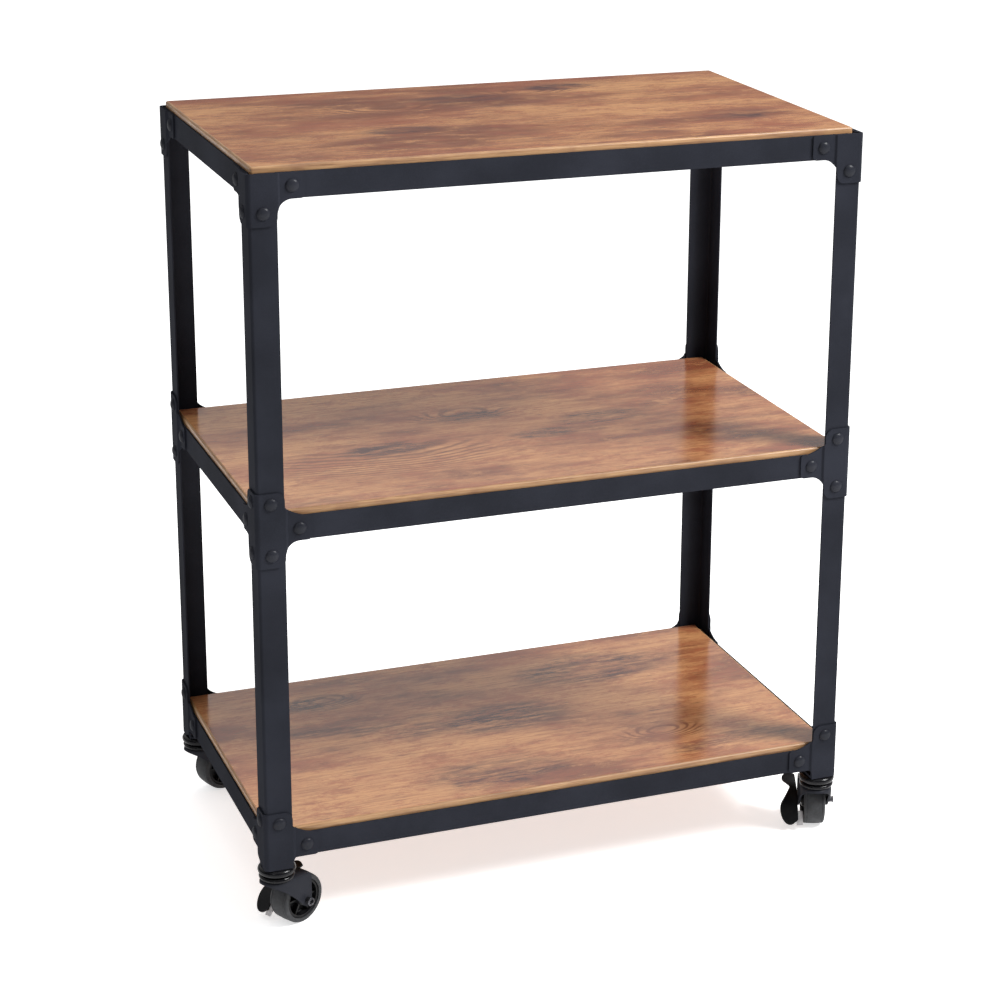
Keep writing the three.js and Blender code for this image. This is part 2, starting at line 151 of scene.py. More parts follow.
def set_surface(tree, shader, colour, roughness, height, depth):
    """Links a colour, a roughness and a bump whose full height is depth metres."""
    tree.links.new(colour, shader.inputs["Base Color"])
    tree.links.new(roughness, shader.inputs["Roughness"])
    bumps = add_node(tree, "ShaderNodeBump", {"Height": height, "Distance": depth})
    tree.links.new(bumps.outputs["Normal"], shader.inputs["Normal"])


# %% [markdown]
# ## Powder coat
#
# The angle steel is sprayed with charcoal powder and baked. Powder never lies quite flat: it dries in a
# fine orange-peel texture about half a millimetre across, with softer waves under it. A speckle in the
# colour and a slow change in gloss keep large faces from looking like flat paint. The paint's own
# reflection is turned off and a thin rough coat put over it, because otherwise every face seen at a low
# angle turns pale grey.


# %% Make the powder coat
def make_powder_coat(name, dark, light, gloss=0.42, sheen=0.04):
    coat = {"Coat_Weight": sheen, "Coat_Roughness": 0.3}
    material, tree, shader, place = start_finish(name, Specular_IOR_Level=0.0, **coat)
    speckle = noise(tree, place, 1500, detail=2)
    cloud = noise(tree, place, 14, detail=4)
    handled = noise(tree, place, 60, detail=5, roughness=0.7)
    tone = calc(tree, "ADD", calc(tree, "MULTIPLY", speckle, 0.35), calc(tree, "MULTIPLY", cloud, 0.65))
    colour = mix(tree, remap(tree, tone, 0.35, 0.65), dark, light)
    rough = remap(tree, handled, 0.3, 0.75, gloss - 0.05, gloss + 0.12)
    peel = calc(tree, "ADD", noise(tree, place, 1900, detail=1), noise(tree, place, 420, detail=2))
    set_surface(tree, shader, colour, rough, peel, 0.05 * MM)
    return material


powder_coat = make_powder_coat("charcoal_powder_coat", (0.0135, 0.0145, 0.019), (0.020, 0.0215, 0.0285))
bolt_paint = make_powder_coat("bolt_head_paint", (0.012, 0.013, 0.017), (0.018, 0.019, 0.025),
                              gloss=0.36, sheen=0.20)
fork_paint = make_powder_coat("fork_coating", (0.015, 0.016, 0.020), (0.023, 0.024, 0.030), sheen=0.10)
print("painted finishes", powder_coat.name, bolt_paint.name, fork_paint.name)

# %% [markdown]
# ## Printed wood
#
# The shelves are chipboard under a printed film of old oak: golden and reddish zones along the length, fine
# broken streaks, arched grain that flows round a few knots, and dark smudges as if from years of use. Each
# of these is a short function that adds its nodes to the tree, and the last function lays them one over
# another in that order. The grain lines are bands across the board whose place is pushed aside near each
# knot, which is what makes them arch. Every board gets its own seed and its own knots.


# %% Nearness to knots and smudges
SQUASH_ALONG = 0.45               # below 1, so that knots and smudges are longer along the board


def nearness(tree, place, spots):
    """(sum, largest) of the nearness to each (x, y, reach): 1 at the spot, falling to 0 at its reach."""
    total, largest = None, None
    for x, y, reach in spots:
        offset = add_node(tree, "ShaderNodeVectorMath", {0: place, 1: (x, y, 0)}, operation="SUBTRACT")
        sockets = {0: offset.outputs[0], 1: (SQUASH_ALONG, 1, 0)}
        flat = add_node(tree, "ShaderNodeVectorMath", sockets, operation="MULTIPLY")
        away = add_node(tree, "ShaderNodeVectorMath", {0: flat.outputs[0]}, operation="LENGTH")
        near = remap(tree, away.outputs["Value"], 0.0, reach, 1.0, 0.0)
        total = near if total is None else calc(tree, "ADD", total, near)
        largest = near if largest is None else calc(tree, "MAXIMUM", largest, near)
    return total, largest


# %% Grain
GRAIN_PITCH = 8.5 * MM            # from one dark line to the next
GRAIN_WAVER = 50 * MM             # slow sway of the lines
KNOT_PUSH = 34 * MM               # how far a knot pushes them aside
GRAIN_FRAY = 6 * MM               # fine unevenness


def grain_lines(tree, place, shift, push, fine):
    waver = noise(tree, place, 5, detail=3, stretch=(1, 2, 0), offset=shift)
    across = add_node(tree, "ShaderNodeSeparateXYZ", {0: place}).outputs["Y"]
    for amount, reach in ((waver, GRAIN_WAVER), (push, KNOT_PUSH), (fine, GRAIN_FRAY)):
        across = calc(tree, "ADD", across, calc(tree, "MULTIPLY", amount, reach))
    waves = calc(tree, "SINE", calc(tree, "MULTIPLY", across, 2 * math.pi / GRAIN_PITCH))
    return calc(tree, "POWER", remap(tree, waves, -1.0, 1.0), 3.0)


# %% Colours of the printed film
GOLD = (0.475, 0.238, 0.100)
TAN = (0.32, 0.138, 0.060)
BROWN = (0.150, 0.051, 0.024)
RUSSET = (0.240, 0.067, 0.032)
SMOKE = (0.052, 0.019, 0.018)


def colour_zones(tree, place, shift, warmth, drift):
    """Golden to brown zones with reddish patches, mottled all over. Drift turns one end browner."""
    zones = noise(tree, place, 6.5, detail=4, roughness=0.6, stretch=(0.7, 2.2, 0), offset=shift)
    along = add_node(tree, "ShaderNodeSeparateXYZ", {0: place}).outputs["X"]
    zones = calc(tree, "ADD", zones, calc(tree, "MULTIPLY", along, drift))
    colour = ramp(tree, remap(tree, zones, 0.34, 0.64), [(0.0, BROWN), (0.35, TAN), (1.0, GOLD)])
    reds = noise(tree, place, 5.0, detail=3, stretch=(0.8, 2.4, 0), offset=(shift[1], shift[0], 7))
    colour = mix(tree, remap(tree, reds, 0.50, 0.68, 0.0, warmth), colour, RUSSET)
    mottle = noise(tree, place, 34, detail=9, roughness=0.82, stretch=(0.7, 1.6, 0),
                   offset=(shift[2], 3, shift[0]))
    colour = mix(tree, remap(tree, mottle, 0.40, 0.52, 0.62, 0.0), colour, RUSSET)
    return mix(tree, remap(tree, mottle, 0.52, 0.64, 0.0, 0.55), colour, GOLD)


# %% Smudges with ragged edges
def smudge_cover(tree, place, shift, smoke, smudge, broken):
    """Strength of the dark smudges: loose ones from noise, as many as smoke says, and the placed ones."""
    patches = noise(tree, place, 8.0, detail=5, roughness=0.62, stretch=(0.7, 2.3, 0), offset=(7, *shift[:2]))
    loose = remap(tree, patches, 0.55, 0.72, 0.0, smoke)
    uneven = remap(tree, patches, 0.3, 0.55, 0.4, 1.0)
    placed = calc(tree, "MULTIPLY", remap(tree, smudge, 0.15, 0.75), uneven)
    cover = calc(tree, "MAXIMUM", loose, placed, clamp=True)
    return calc(tree, "MULTIPLY", cover, remap(tree, broken, 0.42, 0.57, 0.25, 1.0))


# %% Lay the film together
def make_printed_wood(tier, seed, warmth, smoke, drift, knots, smudges):
    material, tree, shader, place = start_finish(f"printed_wood_{tier}", Metallic=0.0, IOR=1.5)
    shift = (seed * 3.7, seed * 1.9, seed * 5.3)
    push, knot = nearness(tree, place, knots)
    _, smudge = nearness(tree, place, smudges)
    fine = noise(tree, place, 60, detail=6, roughness=0.7, stretch=(0.25, 5.5, 0), offset=shift)
    broken = noise(tree, place, 85, detail=6, roughness=0.75, stretch=(0.35, 2.6, 0), offset=shift)
    scratches = noise(tree, place, 300, detail=3, roughness=0.6, stretch=(0.12, 2.2, 0), offset=shift)
    pores = noise(tree, place, 700, detail=2, stretch=(0.2, 1.6, 0), offset=shift)

    film = colour_zones(tree, place, shift, warmth, drift)
    film = mix(tree, remap(tree, fine, 0.38, 0.54, 0.40, 0.0), film, BROWN)
    lines = grain_lines(tree, place, shift, push, fine)
    grain = calc(tree, "MULTIPLY", lines, remap(tree, knot, 0.0, 0.45, 0.07, 0.85))
    film = mix(tree, grain, film, BROWN)
    film = mix(tree, smudge_cover(tree, place, shift, smoke, smudge, broken), film, SMOKE)
    film = mix(tree, remap(tree, scratches, 0.60, 0.70, 0.0, 0.8), film, SMOKE)
    film = mix(tree, remap(tree, pores, 0.35, 0.65, 0.16, 0.0), film, SMOKE)
    set_surface(tree, shader, film, remap(tree, broken, 0.3, 0.7, 0.15, 0.22), fine, 0.03 * MM)
    return material


# %% Print the three films
# Knots and smudges are (x, y, reach) in metres on each board.
BOARD_LOOKS = {
    "top": {
        "seed": 1, "warmth": 0.75, "smoke": 0.45, "drift": 0.0,
        "knots": [(-0.10, 0.045, 0.045), (0.06, 0.10, 0.030)],
        "smudges": [(-0.02, 0.085, 0.040), (0.10, 0.12, 0.030), (-0.12, -0.05, 0.030), (0.21, -0.07, 0.045)],
    },
    "middle": {
        "seed": 2, "warmth": 0.55, "smoke": 0.35, "drift": -0.3,
        "knots": [(-0.14, -0.055, 0.070), (-0.03, 0.05, 0.035)],
        "smudges": [(-0.135, -0.03, 0.034), (-0.02, 0.045, 0.028), (0.10, 0.0, 0.040), (0.03, -0.03, 0.028)],
    },
    "bottom": {
        "seed": 3, "warmth": 0.45, "smoke": 0.75, "drift": -0.2,
        "knots": [(-0.17, 0.10, 0.030), (0.14, -0.09, 0.030)],
        "smudges": [(-0.17, 0.10, 0.034), (-0.05, -0.12, 0.060), (0.13, 0.09, 0.070), (0.0, 0.0, 0.060)],
    },
}
wood = {tier: make_printed_wood(tier, **BOARD_LOOKS[tier]) for tier in TIERS}
print("printed wood on", list(wood))

# %% [markdown]
# ## Board edges
#
# Round the rim of each board the film is rubbed thin, so a pale golden line runs along every edge and the
# side shows a light tan band. It is the same wood family, with the streaks pressed along the edge's length.


# %% Make the edge band
def make_edge_band():
    material, tree, shader, place = start_finish("board_edge_band", Metallic=0.0, IOR=1.48)
    streaks = noise(tree, place, 70, detail=5, roughness=0.65, stretch=(0.3, 0.3, 6))
    blotch = noise(tree, place, 30, detail=4)
    stops = [(0.3, (0.15, 0.07, 0.03)), (0.5, (0.28, 0.15, 0.065)), (0.7, (0.38, 0.22, 0.10))]
    colour = ramp(tree, streaks, stops)
    colour = mix(tree, remap(tree, blotch, 0.5, 0.75, 0.0, 0.6), colour, (0.17, 0.075, 0.035))
    set_surface(tree, shader, colour, remap(tree, blotch, 0.3, 0.7, 0.35, 0.5), streaks, 0.04 * MM)
    return material


edge_band = make_edge_band()
print("edge finish", edge_band.name)

# %% [markdown]
# ## Black parts of the casters
#
# A caster mixes several blacks: glossy enamel on the race rings, a ground and slightly scuffed rubber
# tread, a plain moulded hub and a finely grained pedal. One function makes them all, and each gets its own
# shade, gloss and texture scale, because that is all that tells one black from the next.


# %% Make the black finishes
def make_black(name, dark, light, scale, gloss, depth, specular):
    """A black with a fine grain, and a cloud that shifts its colour and its roughness between two values."""
    material, tree, shader, place = start_finish(name, Metallic=0.0, Specular_IOR_Level=specular)
    grain = noise(tree, place, scale, detail=3)
    cloud = noise(tree, place, 90, detail=4, roughness=0.65)
    colour = mix(tree, remap(tree, cloud, 0.35, 0.7), dark, light)
    set_surface(tree, shader, colour, remap(tree, cloud, 0.35, 0.7, *gloss), grain, depth)
    return material


race_enamel = make_black("race_enamel", (0.003, 0.003, 0.004), (0.007, 0.007, 0.008),
                         scale=500, gloss=(0.12, 0.22), depth=0.008 * MM, specular=0.16)
tyre_rubber = make_black("tyre_rubber", (0.022, 0.023, 0.025), (0.046, 0.047, 0.050),
                         scale=900, gloss=(0.55, 0.75), depth=0.10 * MM, specular=0.2)
hub_plastic = make_black("hub_plastic", (0.004, 0.004, 0.005), (0.009, 0.009, 0.010),
                         scale=1500, gloss=(0.35, 0.5), depth=0.03 * MM, specular=0.15)
pedal_plastic = make_black("pedal_plastic", (0.003, 0.003, 0.004), (0.008, 0.008, 0.009),
                           scale=1700, gloss=(0.32, 0.46), depth=0.09 * MM, specular=0.15)
print("black finishes", race_enamel.name, tyre_rubber.name, hub_plastic.name, pedal_plastic.name)

# %% [markdown]
# ## Bare metal
#
# Only two metals stay uncovered. The brake's grip strip is plated with zinc, which sets in fine spangles,
# and the riveted ends of the axles are steel coloured very dark, which is painted shade for their dished
# ends. Both are a metallic shader with a cell pattern for the spangles and a stain that dulls it in places,
# so one function makes the two of them.


# %% Make the metal finishes
def make_metal(name, clean, stained, gloss):
    material, tree, shader, place = start_finish(name, Metallic=0.95)
    spangle = add_node(tree, "ShaderNodeTexVoronoi", {"Vector": place, "Scale": 900}).outputs["Distance"]
    stain = noise(tree, place, 160, detail=4, roughness=0.6)
    colour = mix(tree, remap(tree, stain, 0.35, 0.7), clean, stained)
    set_surface(tree, shader, colour, remap(tree, stain, 0.3, 0.7, *gloss), spangle, 0.01 * MM)
    return material


zinc_plate = make_metal("zinc_plate", (0.72, 0.70, 0.70), (0.45, 0.42, 0.42), gloss=(0.28, 0.45))
# The axle steel's very dark colour is painted shade, standing in for the shade in the riveted ends' dished
# middles.
axle_steel_painted_shade = make_metal("axle_ends_painted_shade", (0.11, 0.11, 0.12), (0.03, 0.03, 0.035), gloss=(0.30, 0.5))
print("metal finishes", zinc_plate.name, axle_steel_painted_shade.name)

# %% [markdown]
# ## Helpers for shapes
#
# Pieces are drawn as outlines or turned profiles with rounded corners, made solid, and then given a small
# bevel, because a made edge is never razor sharp and the bevel is what catches the light. Shading is smooth
# up to a crisp angle, past which an edge stays a line, and weighted normals keep the flat faces flat beside
# the bevels.


# %% Outline helpers
def arc(cx, cy, radius, start, end, steps):
    """Points on an arc between two angles in degrees."""
    angles = [math.radians(start + (end - start) * i / steps) for i in range(steps + 1)]
    return [(cx + radius * math.cos(a), cy + radius * math.sin(a)) for a in angles]


def bezier(start, control, end, steps):
    """Points on a curve that leaves start and reaches end heading for the control point."""
    points = []
    for i in range(steps + 1):
        t = i / steps
        weights = ((1 - t) ** 2, 2 * t * (1 - t), t * t)
        points.append(tuple(sum(w * p[k] for w, p in zip(weights, (start, control, end))) for k in (0, 1)))
    return points


def rounded(points, radius, steps):
    """The closed outline with its corners rounded."""
    result = []
    for i, point in enumerate(points):
        here, before, after = Vector(point), Vector(points[i - 1]), Vector(points[(i + 1) % len(points)])
        a, b = (before - here).normalized(), (after - here).normalized()
        reach = radius / math.tan(a.angle(b) / 2)
        start, end = here + a * reach, here + b * reach
        result += bezier(tuple(start), tuple(here), tuple(end), steps)
    return result


# %% Mesh helpers
def new_object(name, mesh_data, materials):
    mesh = bpy.data.meshes.new(name)
    mesh_data.normal_update()
    mesh_data.to_mesh(mesh)
    mesh_data.free()
    for material in materials:
        mesh.materials.append(material)
    obj = bpy.data.objects.new(name, mesh)
    bpy.context.scene.collection.objects.link(obj)
    return obj


def prism(outline, low, high, place=Matrix()):
    """A closed block with the outline as its plan."""
    data = bmesh.new()
    lower = [data.verts.new((x, y, low)) for x, y in outline]
    upper = [data.verts.new((x, y, high)) for x, y in outline]
    data.faces.new(lower[::-1])
    data.faces.new(upper)
    for i in range(len(outline)):
        j = (i + 1) % len(outline)
        data.faces.new((lower[i], lower[j], upper[j], upper[i]))
    bmesh.ops.recalc_face_normals(data, faces=data.faces[:])
    data.transform(place)
    return data


def lathe(profile, segments, place=Matrix()):
    """A closed body turned about Z from (radius, height) points. A profile that leaves the axis is a ring."""
    data = bmesh.new()
    rings = []
    for radius, height in profile:
        if radius < 1e-7:
            rings.append([data.verts.new((0, 0, height))] * segments)
            continue
        angles = [2 * math.pi * i / segments for i in range(segments)]
        rings.append([data.verts.new((radius * math.cos(a), radius * math.sin(a), height)) for a in angles])
    closed = profile[0][0] > 1e-7
    for i in range(len(rings) if closed else len(rings) - 1):
        one, two = rings[i], rings[(i + 1) % len(rings)]
        for j in range(segments):
            k = (j + 1) % segments
            corners = []
            for vert in (one[j], one[k], two[k], two[j]):
                if vert not in corners:
                    corners.append(vert)
            if len(corners) > 2:
                data.faces.new(corners)
    bmesh.ops.recalc_face_normals(data, faces=data.faces[:])
    data.transform(place)
    return data


def joined(*parts):
    """One bmesh holding all the parts."""
    whole = bmesh.new()
    for part in parts:
        mesh = bpy.data.meshes.new("part")
        part.to_mesh(mesh)
        part.free()
        whole.from_mesh(mesh)
        bpy.data.meshes.remove(mesh)
    return whole


# %% Finishing a piece
EDGE_BREAK = 0.3 * MM             # bevel on a cut metal edge
CRISP_ANGLE = 50                  # degrees


def soften(obj, width=EDGE_BREAK, segments=2, angle=40, material=-1):
    bevel = obj.modifiers.new("soft_edges", "BEVEL")
    bevel.width = width
    bevel.segments = segments
    bevel.limit_method = "ANGLE"
    bevel.angle_limit = math.radians(angle)
    bevel.material = material
    bevel.use_clamp_overlap = True


def bake_modifiers(obj):
    graph = bpy.context.evaluated_depsgraph_get()
    mesh = bpy.data.meshes.new_from_object(obj.evaluated_get(graph), depsgraph=graph)
    source = obj.data
    obj.modifiers.clear()
    obj.data = mesh
    mesh.name = obj.name
    bpy.data.meshes.remove(source)


def finish_piece(obj, body, nodes, smooth=True):
    """Bakes the modifiers in, then puts the piece on its body in place of the named CAD nodes."""
    if smooth:
        bake_modifiers(obj)
        obj.data.shade_smooth()
        obj.data.set_sharp_from_angle(angle=math.radians(CRISP_ANGLE))
        weighted = obj.modifiers.new("even_shading", "WEIGHTED_NORMAL")
        weighted.keep_sharp = True
    bake_modifiers(obj)
    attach(obj, body)
    if nodes:
        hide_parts(*nodes)
    print(f"{obj.name}: {len(obj.data.polygons)} faces on {body}")
    return obj


# %% [markdown]
# ## Folded steel
#
# Posts and gussets are sheet: a flat blank is cut and then folded round the corner. The blank could be
# modelled straight in its folded form, but it is easier to get right the way the factory does it. The
# outline is drawn flat, with u along the blank and v up, cut at each fold line, and every point is then
# carried to its folded place. Solidify adds the thickness behind the outer face.

# %% Fold a blank round a corner
SHEET = 1.5 * MM
POST_BEND = 3 * MM                # outer radius of a post's fold
TOUCH_GAP = 0.3 * MM              # air between pieces that touch
STEP_AT = leg + 0.5 * MM          # a gusset steps from the post in to the rail here
STEP_RUN = 2.6 * MM


def step_in(u, lift):
    """How far out a gusset stands at u: lift over the post, then flush with the post's face."""
    t = min(max((u - STEP_AT) / STEP_RUN, 0.0), 1.0)
    return -lift * (1 - t * t * (3 - 2 * t))


def fold_point(u, v, corner, lift):
    """Carries a point of the blank to the corner, at that height."""
    side_x, side_y = CORNERS[corner]
    if abs(u) > POST_BEND:
        p, q = abs(u), step_in(abs(u), lift)
        p, q = (p, q) if u > 0 else (q, p)
    else:
        angle = math.radians(225 + 45 * u / POST_BEND)
        radius = POST_BEND + lift
        p, q = POST_BEND + radius * math.cos(angle), POST_BEND + radius * math.sin(angle)
    return Vector((side_x * (half_length - p), side_y * (half_width - q), v))


def cut_blank(outline, cuts):
    """A flat sheet with the outline, cut across at each place along it."""
    data = bmesh.new()
    data.faces.new([data.verts.new((u, v, 0)) for u, v in outline])
    for u in cuts:
        parts = data.verts[:] + data.edges[:] + data.faces[:]
        bmesh.ops.bisect_plane(data, geom=parts, dist=1e-6, plane_co=(u, 0, 0), plane_no=(1, 0, 0))
    return data


def face_towards(data, direction):
    data.normal_update()
    if sum(face.normal.dot(direction) * face.calc_area() for face in data.faces) < 0:
        bmesh.ops.reverse_faces(data, faces=data.faces[:])


def thicken(obj, thickness):
    """Adds the sheet's thickness behind the drawn face."""
    wall = obj.modifiers.new("sheet", "SOLIDIFY")
    wall.thickness = thickness
    wall.offset = -1
    return wall


def folded_sheet(name, outline, corner, lift, material):
    folds = [POST_BEND * i / 3 for i in range(-3, 4)]
    if lift:
        steps = [STEP_AT + STEP_RUN * i / 4 for i in range(5)]
        folds += steps + [-u for u in steps]
    data = cut_blank(outline, folds)
    for vert in data.verts:
        vert.co = fold_point(vert.co.x, vert.co.y, corner, lift)
    face_towards(data, Vector((*CORNERS[corner], 0)))
    obj = new_object(name, data, [material])
    thicken(obj, SHEET).use_even_offset = True
    soften(obj)
    return obj


# %% Fold the four posts
for corner in CORNERS:
    blank = [(-leg, foot_height), (leg, foot_height), (leg, rims["top"]), (-leg, rims["top"])]
    post = folded_sheet(f"angle_post_{corner}", blank, corner, 0.0, powder_coat)
    finish_piece(post, "frame", [f"post_{corner}"])

# %% [markdown]
# ## Gussets
#
# Twelve corner gussets hold the rails to the posts. Each is one blank with a tab over each rail, a tab down
# the post and, on the lower two tiers, a tab up the post with a hollow slope down to the rail tab. A round
# throat takes the stress out of the inner corner. Just beyond the post the sheet steps in by its own
# thickness, so that the rail tab lies flush with the post. The bottom gusset ends at the foot, narrower on
# the short side.

# %% Cut and fold the gussets
REACH = 51.5 * MM                 # corner to the end of a rail tab
TAB_ABOVE = 24.5 * MM             # post tab above the rim
TAB_BELOW = 47.5 * MM             # and below it
TAB_ROUND = 8 * MM
RAIL_TAB_ROUND = 2 * MM           # upper corner of a rail tab
THROAT = 14 * MM
FOOT_THROAT = 4 * MM
SHOULDER_RISE, SHOULDER_RUN = 10 * MM, 20 * MM
FOOT_TAPER = 12 * MM
LIFT = SHEET + TOUCH_GAP
foot_drop = rims["bottom"] - foot_height


def half_gusset(tier, tapered):
    """Half of the blank from the middle of its top to the middle of its bottom, with v from the rim."""
    points = [(0, 0)]
    if tier != "top":
        points = [(0, TAB_ABOVE), *arc(leg - TAB_ROUND, TAB_ABOVE - TAB_ROUND, TAB_ROUND, 90, 0, 8)]
        control = (leg + SHOULDER_RUN / 4, SHOULDER_RISE / 3)
        points += bezier((leg, SHOULDER_RISE), control, (leg + SHOULDER_RUN, 0), 8)
    points += arc(REACH - RAIL_TAB_ROUND, -RAIL_TAB_ROUND, RAIL_TAB_ROUND, 90, 0, 4)
    end_round = TAB_ROUND / 2
    points += arc(REACH - end_round, -rail_face + end_round, end_round, 0, -90, 6)
    if tier == "bottom":
        points += arc(leg + FOOT_THROAT, -rail_face - FOOT_THROAT, FOOT_THROAT, 90, 180, 6)
        points += [(leg - FOOT_TAPER if tapered else leg, -foot_drop), (0, -foot_drop)]
    else:
        points += arc(leg + THROAT, -rail_face - THROAT, THROAT, 90, 180, 10)
        points += arc(leg - TAB_ROUND, -TAB_BELOW + TAB_ROUND, TAB_ROUND, 0, -90, 8)
        points += [(0, -TAB_BELOW)]
    return points


for tier in TIERS:
    for corner in CORNERS:
        long_half = half_gusset(tier, tapered=False)
        short_half = [(-u, v) for u, v in half_gusset(tier, tapered=True)]
        blank = [(u, v + rims[tier]) for u, v in long_half + short_half[-2:0:-1]]
        gusset = folded_sheet(f"folded_gusset_{tier}_{corner}", blank, corner, LIFT, powder_coat)
        finish_piece(gusset, "frame", [f"gusset_{tier}_{corner}"])

# %% [markdown]
# ## Bolt heads
#
# Fifty-six domed bolt heads, all alike, are the kind of thing that Geometry Nodes are for. The tree shapes
# one head from a sphere, pressed flat above and cut level below, and sets a copy at every point of a small
# mesh, turned to face the way that the point's own attribute says.


# %% Build the bolt tree
def open_tree(name, float_names):
    """A geometry tree with a geometry and a material input, and a float input for each name."""
    tree = bpy.data.node_groups.new(name, "GeometryNodeTree")
    tree.interface.new_socket("Geometry", in_out="INPUT", socket_type="NodeSocketGeometry")
    sockets = {}
    for label in float_names:
        sockets[label] = tree.interface.new_socket(label, in_out="INPUT", socket_type="NodeSocketFloat")
    sockets["Finish"] = tree.interface.new_socket("Finish", in_out="INPUT", socket_type="NodeSocketMaterial")
    tree.interface.new_socket("Geometry", in_out="OUTPUT", socket_type="NodeSocketGeometry")
    source = add_node(tree, "NodeGroupInput")
    return tree, {label: socket.identifier for label, socket in sockets.items()}, source.outputs


def close_tree(tree, geometry, finish):
    realised = add_node(tree, "GeometryNodeRealizeInstances", {0: geometry}).outputs[0]
    painted = add_node(tree, "GeometryNodeSetMaterial", {"Geometry": realised, "Material": finish}).outputs[0]
    add_node(tree, "NodeGroupOutput", {0: painted})


def point_place(tree):
    position = add_node(tree, "GeometryNodeInputPosition").outputs[0]
    return add_node(tree, "ShaderNodeSeparateXYZ", {0: position}).outputs


def run_tree(obj, tree, identifiers, values):
    """Puts the tree on the object and sets its inputs by identifier."""
    modifier = obj.modifiers.new(tree.name, "NODES")
    modifier.node_group = tree
    for label, value in values.items():
        modifier[identifiers[label]] = value


bolt_tree, bolt_inputs, given = open_tree("domed_bolt_heads", ["Head radius", "Head height", "Skirt"])
ball = add_node(bolt_tree, "GeometryNodeMeshUVSphere",
                {"Segments": 20, "Rings": 14, "Radius": given["Head radius"]})
x, y, z = point_place(bolt_tree)
flatness = calc(bolt_tree, "DIVIDE", given["Head height"], given["Head radius"])
skirt = calc(bolt_tree, "MULTIPLY", given["Skirt"], -1.0)
level = calc(bolt_tree, "MAXIMUM", calc(bolt_tree, "MULTIPLY", z, flatness), skirt)
moved = add_node(bolt_tree, "ShaderNodeCombineXYZ", {0: x, 1: y, 2: level}).outputs[0]
head = add_node(bolt_tree, "GeometryNodeSetPosition", {"Geometry": ball.outputs["Mesh"], "Position": moved})
smooth_head = add_node(bolt_tree, "GeometryNodeSetShadeSmooth", {"Geometry": head.outputs[0]}).outputs[0]
facing = add_node(bolt_tree, "GeometryNodeInputNamedAttribute", {"Name": "facing"}, data_type="FLOAT_VECTOR")
turned = add_node(bolt_tree, "FunctionNodeAlignRotationToVector",
                  {"Vector": facing.outputs["Attribute"]}, axis="Z")
heads = add_node(bolt_tree, "GeometryNodeInstanceOnPoints",
                 {"Points": given["Geometry"], "Instance": smooth_head, "Rotation": turned.outputs[0]})
close_tree(bolt_tree, heads.outputs[0], given["Finish"])
print("bolt tree", len(bolt_tree.nodes), "nodes")

# %% Find the places of the bolts
POST_BOLT_IN, RAIL_BOLT_IN = 13 * MM, 40 * MM      # from the corner
RAIL_BOLT_DOWN = 12 * MM                           # from the rim
BOLT_UP, BOLT_DOWN = 14 * MM, 35.5 * MM            # bolts on the post, above and below the rim


def bolt_places(tier):
    """(distance from the corner, height from the rim, how far the face stands out) of each bolt on a face."""
    places = [(RAIL_BOLT_IN, -RAIL_BOLT_DOWN, 0.0)]
    if tier != "top":
        places.append((POST_BOLT_IN, BOLT_UP, LIFT))
    if tier != "bottom":
        places.append((POST_BOLT_IN, -BOLT_DOWN, LIFT))
    return places


points, facings = [], []
for tier in TIERS:
    for side_x, side_y in CORNERS.values():
        for along, up, out in bolt_places(tier):
            height = rims[tier] + up
            points.append((side_x * (half_length - along), side_y * (half_width + out), height))
            facings.append((0, side_y, 0))
            points.append((side_x * (half_length + out), side_y * (half_width - along), height))
            facings.append((side_x, 0, 0))
print("bolts", len(points))

# %% Set the bolts
BOLT_HEAD = {"Head radius": 6.2 * MM, "Head height": 2.8 * MM, "Skirt": 0.3 * MM, "Finish": bolt_paint}
bolt_mesh = bpy.data.meshes.new("gusset_bolts")
bolt_mesh.from_pydata(points, [], [])
facing_data = bolt_mesh.attributes.new("facing", "FLOAT_VECTOR", "POINT")
facing_data.data.foreach_set("vector", [value for facing in facings for value in facing])
bolts = bpy.data.objects.new("gusset_bolts", bolt_mesh)
bpy.context.scene.collection.objects.link(bolts)
run_tree(bolts, bolt_tree, bolt_inputs, BOLT_HEAD)
finish_piece(bolts, "frame", [], smooth=False)

# %% [markdown]
# ## Rails
#
# A rail follows a rule: one section, pulled out to the length of its side and mitred at both ends. So a
# second tree does the pulling. It extrudes the section along the rail, closes the near end, and slides
# every point towards the middle by its distance from the outer face, which is exactly a 45 degree mitre.

# %% Build the rail tree
rail_tree, rail_inputs, given = open_tree("mitred_rail", ["Length"])
pull = add_node(rail_tree, "ShaderNodeCombineXYZ", {0: given["Length"]}).outputs[0]
drawn = add_node(rail_tree, "GeometryNodeExtrudeMesh",
                 {"Mesh": given["Geometry"], "Offset": pull, "Offset Scale": 1.0, "Individual": False})
near_end = add_node(rail_tree, "GeometryNodeFlipFaces", {0: given["Geometry"]}).outputs[0]
both = add_node(rail_tree, "GeometryNodeJoinGeometry")
rail_tree.links.new(drawn.outputs["Mesh"], both.inputs[0])
rail_tree.links.new(near_end, both.inputs[0])
bar = add_node(rail_tree, "GeometryNodeMergeByDistance",
               {"Geometry": both.outputs[0], "Distance": 1e-6}).outputs[0]
x, y, _ = point_place(rail_tree)
toward = calc(rail_tree, "MULTIPLY", calc(rail_tree, "SIGN", x), y)
slide = add_node(rail_tree, "ShaderNodeCombineXYZ", {0: calc(rail_tree, "MULTIPLY", toward, -1.0)}).outputs[0]
mitred = add_node(rail_tree, "GeometryNodeSetPosition", {"Geometry": bar, "Offset": slide}).outputs[0]
close_tree(rail_tree, mitred, given["Finish"])
print("rail tree", len(rail_tree.nodes), "nodes")

